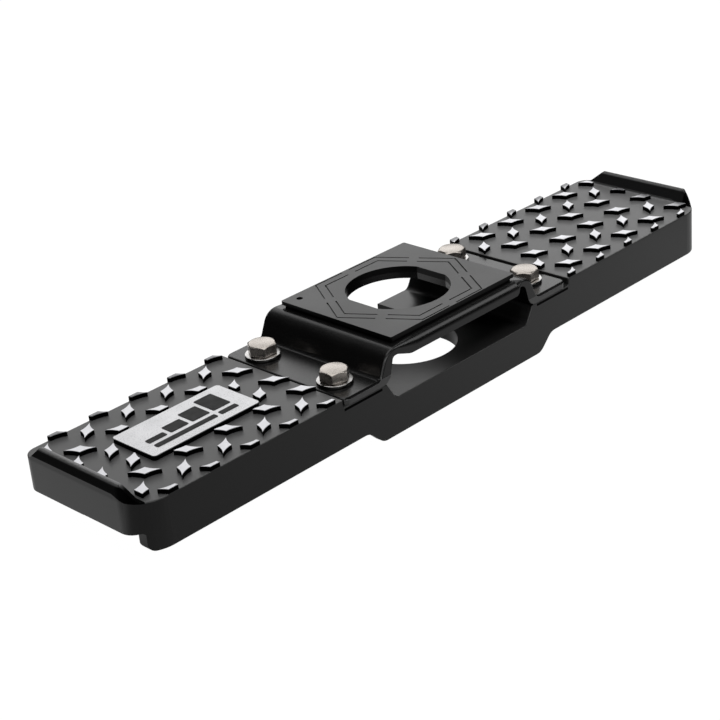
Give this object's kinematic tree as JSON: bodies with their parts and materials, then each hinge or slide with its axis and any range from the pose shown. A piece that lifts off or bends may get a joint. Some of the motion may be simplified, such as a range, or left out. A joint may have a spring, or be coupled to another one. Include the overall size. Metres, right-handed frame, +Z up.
{
  "type": "tailgate step",
  "caption": "Long clamp-on step for a towing ball mount: two treads with raised diamonds, an arched clamp bracket in the middle with a pad and a ball hole, bolts through its flanges.",
  "frame": {"origin": "middle of the step in plan, on the level of the lowest edge of its skirt", "axes": "+X along the step to the wing without a badge, +Y along the tongue to the side where the floor slot is open, +Z up out of the treads"},
  "size_m": [0.5632, 0.1142, 0.0666],
  "materials": {
    "body_plastic": "satin black moulded glass-filled plastic, finely textured on the deck",
    "bright_cap": "bright satin caps",
    "badge_metal": "fine brushed",
    "emblem_ink": "flat black",
    "bracket_paint": "semi-gloss black powder coat",
    "pad_plastic": "matte black with fine grooves",
    "spring_steel": "plain spring steel",
    "plate_steel": "black oxide",
    "bolt_steel": "zinc plated, slightly warm",
    "washer_steel": "bright zinc plated",
    "nut_steel": "zinc plated"
  },
  "bodies": {
    "step": {"step_body": "body_plastic", "left_tread_caps": "bright_cap", "right_tread_caps": "bright_cap", "badge_plate": "badge_metal", "badge_emblem": "emblem_ink", "left_nut_plate": "plate_steel", "right_nut_plate": "plate_steel", "front_left_nut": "nut_steel", "back_left_nut": "nut_steel", "front_right_nut": "nut_steel", "back_right_nut": "nut_steel"},
    "clamp": {"clamp_bracket": "bracket_paint", "bracket_pad": "pad_plastic", "pad_push_nuts": "spring_steel", "front_left_washer": "washer_steel", "back_left_washer": "washer_steel", "front_right_washer": "washer_steel", "back_right_washer": "washer_steel"},
    "front_left_bolt": {"front_left_bolt": "bolt_steel"},
    "back_left_bolt": {"back_left_bolt": "bolt_steel"},
    "front_right_bolt": {"front_right_bolt": "bolt_steel"},
    "back_right_bolt": {"back_right_bolt": "bolt_steel"}
  },
  "joints": [
    {"name": "clamp_lift", "type": "slide", "parent": "step", "child": "clamp", "axis": [0, 0, 1], "range_m": [0, 0.04]},
    {"name": "front_left_bolt_turn", "type": "hinge", "parent": "clamp", "child": "front_left_bolt", "pos_m": [-0.098, -0.0335, 0.0467], "axis": [0, 0, 1], "range_deg": [0, 8230]},
    {"name": "back_left_bolt_turn", "type": "hinge", "parent": "clamp", "child": "back_left_bolt", "pos_m": [-0.098, 0.0346, 0.0467], "axis": [0, 0, 1], "range_deg": [0, 8230]},
    {"name": "front_right_bolt_turn", "type": "hinge", "parent": "clamp", "child": "front_right_bolt", "pos_m": [0.095, -0.0335, 0.0467], "axis": [0, 0, 1], "range_deg": [0, 8230]},
    {"name": "back_right_bolt_turn", "type": "hinge", "parent": "clamp", "child": "back_right_bolt", "pos_m": [0.095, 0.0354, 0.0467], "axis": [0, 0, 1], "range_deg": [0, 8230]}
  ],
  "couplings": [
    {"joint": "front_left_bolt_turn", "follows": "clamp_lift", "rad_per_m": 3590.4},
    {"joint": "back_left_bolt_turn", "follows": "clamp_lift", "rad_per_m": 3590.4},
    {"joint": "front_right_bolt_turn", "follows": "clamp_lift", "rad_per_m": 3590.4},
    {"joint": "back_right_bolt_turn", "follows": "clamp_lift", "rad_per_m": 3590.4}
  ]
}
